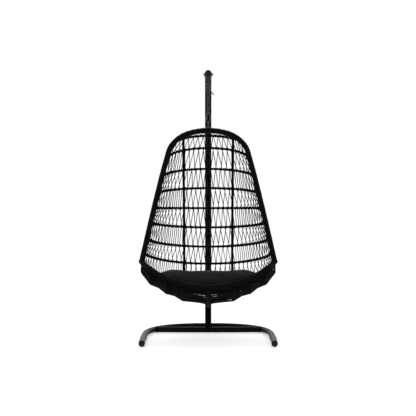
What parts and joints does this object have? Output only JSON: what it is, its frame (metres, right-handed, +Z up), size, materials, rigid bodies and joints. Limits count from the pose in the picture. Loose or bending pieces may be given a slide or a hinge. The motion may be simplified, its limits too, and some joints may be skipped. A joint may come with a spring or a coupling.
{
  "type": "hanging egg chair",
  "caption": "Garden egg chair: an open wicker basket with a seat cushion, hung by a chain and a coil spring from a curved steel post on a horseshoe base.",
  "frame": {"origin": "on the floor, under the middle of the horseshoe base", "axes": "+Z up, the open front of the chair faces -Y, +X to the right in the picture"},
  "size_m": [1.0204, 1.0202, 2],
  "materials": {
    "stand_steel": "satin",
    "black_plastic": "satin",
    "zinc_steel": "satin",
    "wicker_wrap": "satin",
    "wicker_strand": "satin",
    "cushion_fabric": "matte"
  },
  "bodies": {
    "stand": {"base_tube": "stand_steel", "crossbar": "stand_steel", "post_lower": "stand_steel", "post_upper": "stand_steel", "post_spigot": "stand_steel", "base_cap_left": "black_plastic", "base_cap_right": "black_plastic", "glide_front_left": "black_plastic", "glide_front_right": "black_plastic", "glide_rear_left": "black_plastic", "glide_rear_right": "black_plastic", "arm_end_cap": "black_plastic", "post_bolt": "zinc_steel", "hanger_bolt": "zinc_steel", "hanger_nut": "zinc_steel"},
    "bail": {"hanger_bail": "zinc_steel"},
    "spring_top": {"spring_upper_bar": "zinc_steel", "spring": "zinc_steel"},
    "chain_upper": {"spring_lower_bar": "zinc_steel", "chain_link_1": "zinc_steel", "chain_link_2": "zinc_steel"},
    "chain_lower": {"chain_link_3": "zinc_steel", "chain_link_4": "zinc_steel", "quick_link": "zinc_steel", "quick_link_sleeve": "zinc_steel", "chain_link_5": "zinc_steel"},
    "basket": {"basket_eye": "zinc_steel", "rim_arch": "wicker_wrap", "front_lip": "wicker_wrap", "hoop_01": "wicker_wrap", "hoop_02": "wicker_wrap", "hoop_03": "wicker_wrap", "hoop_04": "wicker_wrap", "hoop_05": "wicker_wrap", "hoop_06": "wicker_wrap", "hoop_07": "wicker_wrap", "hoop_08": "wicker_wrap", "hoop_09": "wicker_wrap", "hoop_10": "wicker_wrap", "hoop_11": "wicker_wrap", "rib_centre": "wicker_wrap", "rib_left": "wicker_wrap", "rib_right": "wicker_wrap", "rib_side_1": "wicker_wrap", "rib_side_2": "wicker_wrap", "rib_side_3": "wicker_wrap", "rib_side_4": "wicker_wrap", "weave_01": "wicker_strand", "weave_02": "wicker_strand", "weave_03": "wicker_strand", "weave_04": "wicker_strand", "weave_05": "wicker_strand", "weave_06": "wicker_strand", "weave_07": "wicker_strand", "weave_08": "wicker_strand", "weave_09": "wicker_strand", "weave_10": "wicker_strand", "weave_11": "wicker_strand", "weave_12": "wicker_strand"},
    "cushion": {"seat_cushion": "cushion_fabric"}
  },
  "joints": [
    {"name": "swing_fore_aft", "type": "hinge", "parent": "stand", "child": "bail", "pos_m": [0, -0.13, 1.975], "axis": [1, 0, 0], "range_deg": [-20, 2]},
    {"name": "swing_sideways", "type": "hinge", "parent": "bail", "child": "spring_top", "pos_m": [0, -0.13, 1.93], "axis": [0, 1, 0], "range_deg": [-8, 8]},
    {"name": "bounce", "type": "slide", "parent": "spring_top", "child": "chain_upper", "axis": [0, 0, -1], "range_m": [0, 0.02], "stiffness_N_per_m": 30000, "springref_m": -0.02, "deforming": ["spring"]},
    {"name": "spin", "type": "hinge", "parent": "chain_upper", "child": "chain_lower", "pos_m": [0, -0.13, 1.7585], "axis": [0, 0, 1], "range_deg": [-20, 20]},
    {"name": "basket_tilt", "type": "hinge", "parent": "chain_lower", "child": "basket", "pos_m": [0, -0.13, 1.5762], "axis": [1, 0, 0], "range_deg": [-8, 1.5]},
    {"name": "cushion_lift", "type": "slide", "parent": "basket", "child": "cushion", "axis": [0, 0, 1], "range_m": [0, 0.2]}
  ]
}
